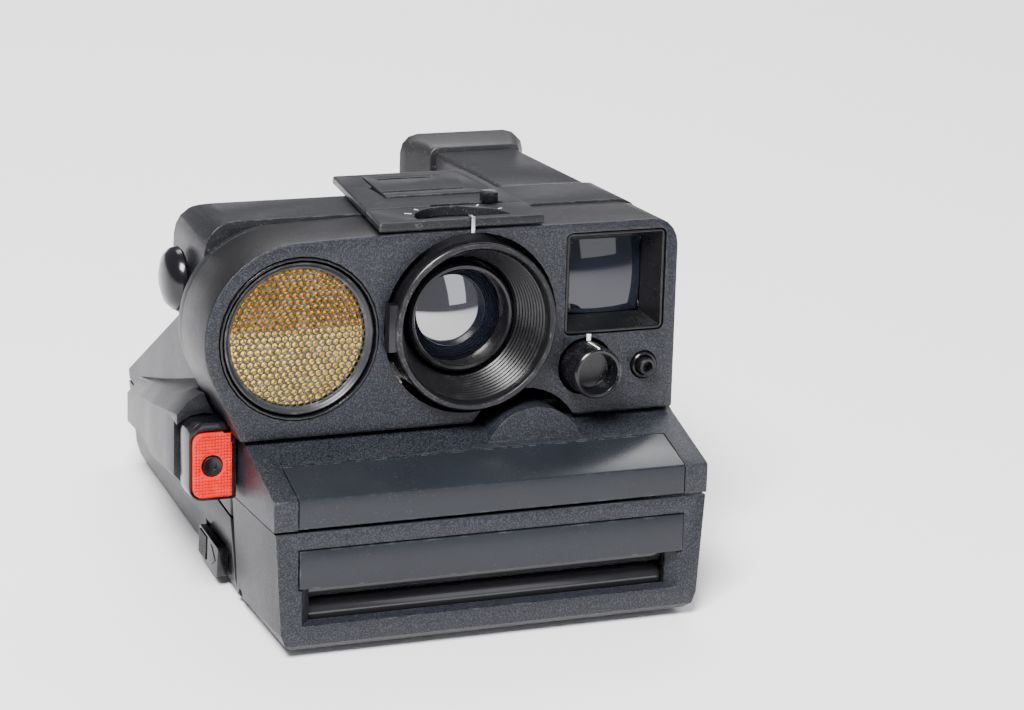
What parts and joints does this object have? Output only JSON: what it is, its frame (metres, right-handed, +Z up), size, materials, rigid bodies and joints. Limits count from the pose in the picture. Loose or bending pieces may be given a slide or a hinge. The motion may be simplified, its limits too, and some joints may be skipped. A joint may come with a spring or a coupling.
{
  "type": "instant film camera",
  "caption": "Rigid instant film camera with a round sonar rangefinder, recessed lens, flash plate on its roof, side grip with a red release, and a film door with a print exit slot.",
  "frame": {"origin": "centre of the bounding box, on the plane of the flat underside", "axes": "+Z up from the table, -Y out of the front where the lens looks (the front itself leans back 7 degrees), +X to the right as seen from the front"},
  "size_m": [0.1322, 0.1418, 0.0983],
  "materials": {
    "shell_plastic": "smooth satin charcoal moulding",
    "face_plastic": "charcoal moulding with a fine spark-eroded texture",
    "gloss_black": "polished black moulding",
    "inner_black": "dull black",
    "red_button": "bright red with a fine grid of pyramids",
    "gold_foil": "gold coated film, bright",
    "grille_metal": "dark grey painted perforated sheet",
    "optical_glass": "coated optical glass",
    "eyecup_rubber": "matt black rubber",
    "roller_steel": "ground steel",
    "contact_brass": "spring brass",
    "plate_aluminium": "turned aluminium",
    "mirror_glass": "front-silvered",
    "clear_plastic": "clear window",
    "gear_nylon": "natural nylon"
  },
  "bodies": {
    "camera": {"base_tray": "shell_plastic", "body_shell": "shell_plastic", "top_housing": "shell_plastic", "bulkhead": "shell_plastic", "hand_grip": "shell_plastic", "focus_window_plate": "shell_plastic", "flash_base": "shell_plastic", "socket_cover": "shell_plastic", "viewfinder_tube": "shell_plastic", "front_cover": "face_plastic", "deck": "face_plastic", "label_plate": "gloss_black", "button_pod": "gloss_black", "photocell_ring": "gloss_black", "strap_lug_left": "gloss_black", "strap_lug_right": "gloss_black", "sonar_housing": "gloss_black", "film_gate": "inner_black", "shutter_plate": "inner_black", "shutter_cover": "inner_black", "flash_socket": "inner_black", "viewfinder_frame": "inner_black", "photocell_tube": "inner_black", "sonar_foil": "gold_foil", "sonar_grille": "grille_metal", "rear_element": "optical_glass", "viewfinder_lens": "optical_glass", "eyepiece_lens": "optical_glass", "eyecup": "eyecup_rubber", "hinge_pin": "roller_steel", "battery_contact_left": "contact_brass", "battery_contact_right": "contact_brass", "sonar_backplate": "plate_aluminium", "focus_motor": "plate_aluminium", "focus_index": "plate_aluminium", "mirror": "mirror_glass", "counter_window": "clear_plastic"},
    "door": {"film_door": "face_plastic", "door_panel": "gloss_black", "roller_bracket_left": "roller_steel", "roller_bracket_right": "roller_steel"},
    "upper_roller": {"roller_upper": "roller_steel", "roller_gear_upper": "gear_nylon"},
    "lower_roller": {"roller_lower": "roller_steel", "roller_gear_lower": "gear_nylon"},
    "latch": {"door_latch": "gloss_black"},
    "button": {"shutter_button": "red_button", "release_socket": "inner_black"},
    "focus_group": {"focus_ring": "inner_black", "lens_cell": "inner_black", "front_element": "optical_glass"},
    "pinion": {"focus_pinion": "gear_nylon"},
    "switch": {"focus_switch": "gloss_black"},
    "knob": {"exposure_knob": "gloss_black"},
    "blade_a": {"shutter_blade_a": "roller_steel"},
    "blade_b": {"shutter_blade_b": "roller_steel"},
    "picker": {"pick_arm": "roller_steel"},
    "counter": {"counter_dial": "gear_nylon"}
  },
  "joints": [
    {"name": "door_hinge", "type": "hinge", "parent": "camera", "child": "door", "pos_m": [0.00368, -0.0392, 0.00303], "axis": [1, 0, 0], "range_deg": [0, 85]},
    {"name": "upper_roller_spin", "type": "hinge", "parent": "door", "child": "upper_roller", "pos_m": [0.00368, -0.06194, 0.01559], "axis": [1, 0, 0], "continuous": true},
    {"name": "lower_roller_spin", "type": "hinge", "parent": "door", "child": "lower_roller", "pos_m": [0.00368, -0.06275, 0.00894], "axis": [1, 0, 0], "continuous": true},
    {"name": "latch_slide", "type": "slide", "parent": "camera", "child": "latch", "axis": [0, -1, 0], "range_m": [0, 0.003], "stiffness_N_per_m": 250, "springref_m": -0.001},
    {"name": "button_press", "type": "slide", "parent": "camera", "child": "button", "axis": [0, 0.9925, -0.1219], "range_m": [0, 0.0018], "stiffness_N_per_m": 400, "springref_m": -0.001},
    {"name": "focus_turn", "type": "hinge", "parent": "camera", "child": "focus_group", "pos_m": [0.00432, -0.04556, 0.07182], "axis": [0, -0.9925, 0.1219], "range_deg": [-55, 75]},
    {"name": "pinion_spin", "type": "hinge", "parent": "camera", "child": "pinion", "pos_m": [-0.01428, -0.03553, 0.05346], "axis": [0, -0.9925, 0.1219], "range_deg": [-480, 355]},
    {"name": "switch_slide", "type": "slide", "parent": "camera", "child": "switch", "axis": [1, 0, 0], "range_m": [-0.012, 0]},
    {"name": "exposure_turn", "type": "hinge", "parent": "camera", "child": "knob", "pos_m": [0.03528, -0.04398, 0.05842], "axis": [0, -0.9925, 0.1219], "range_deg": [-40, 40]},
    {"name": "blade_a_slide", "type": "slide", "parent": "camera", "child": "blade_a", "axis": [1, 0, 0], "range_m": [0, 0.013]},
    {"name": "blade_b_slide", "type": "slide", "parent": "camera", "child": "blade_b", "axis": [1, 0, 0], "range_m": [-0.013, 0]},
    {"name": "pick_stroke", "type": "slide", "parent": "camera", "child": "picker", "axis": [0, -1, 0], "range_m": [0, 0.008]},
    {"name": "counter_turn", "type": "hinge", "parent": "camera", "child": "counter", "pos_m": [0.03468, 0.048, 0.0122], "axis": [0, 1, 0], "range_deg": [0, 300]}
  ],
  "couplings": [
    {"joint": "lower_roller_spin", "follows": "upper_roller_spin", "ratio": -1},
    {"joint": "pinion_spin", "follows": "focus_turn", "ratio": -6.36},
    {"joint": "blade_b_slide", "follows": "blade_a_slide", "ratio": -1}
  ]
}
